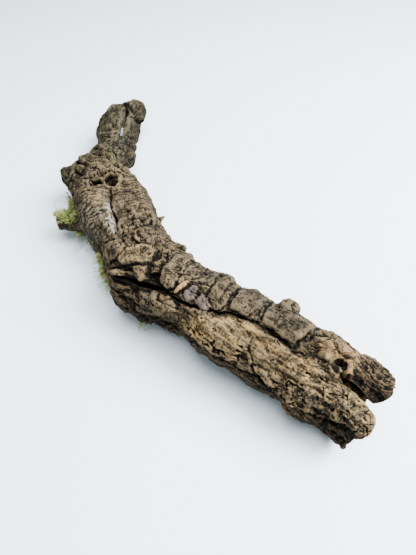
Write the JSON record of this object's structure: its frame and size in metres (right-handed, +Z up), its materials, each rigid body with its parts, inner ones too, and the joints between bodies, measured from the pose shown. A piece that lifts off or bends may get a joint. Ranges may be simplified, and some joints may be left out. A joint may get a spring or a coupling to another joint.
{
  "type": "cork bark tube",
  "caption": "Crooked hollow tube of rough cork bark, open at both ends, cracked along its seam, with branch stubs, knot holes and clinging moss.",
  "frame": {"origin": "middle of the box round the whole object, on the surface that it rests on", "axes": "+X along the tube from its thin end to its forked end, +Y towards the back of the bend, +Z up"},
  "size_m": [0.6067, 0.2098, 0.0886],
  "materials": {
    "cork_bark": "rough, cracked and pitted bark, matt",
    "moss": "dry moss fronds, matt"
  },
  "bodies": {
    "root": {"bark_tube": "cork_bark", "moss_on_stub": "moss", "moss_hanging_wisp": "moss", "moss_side_tuft": "moss", "moss_under_edge": "moss"}
  },
  "joints": []
}
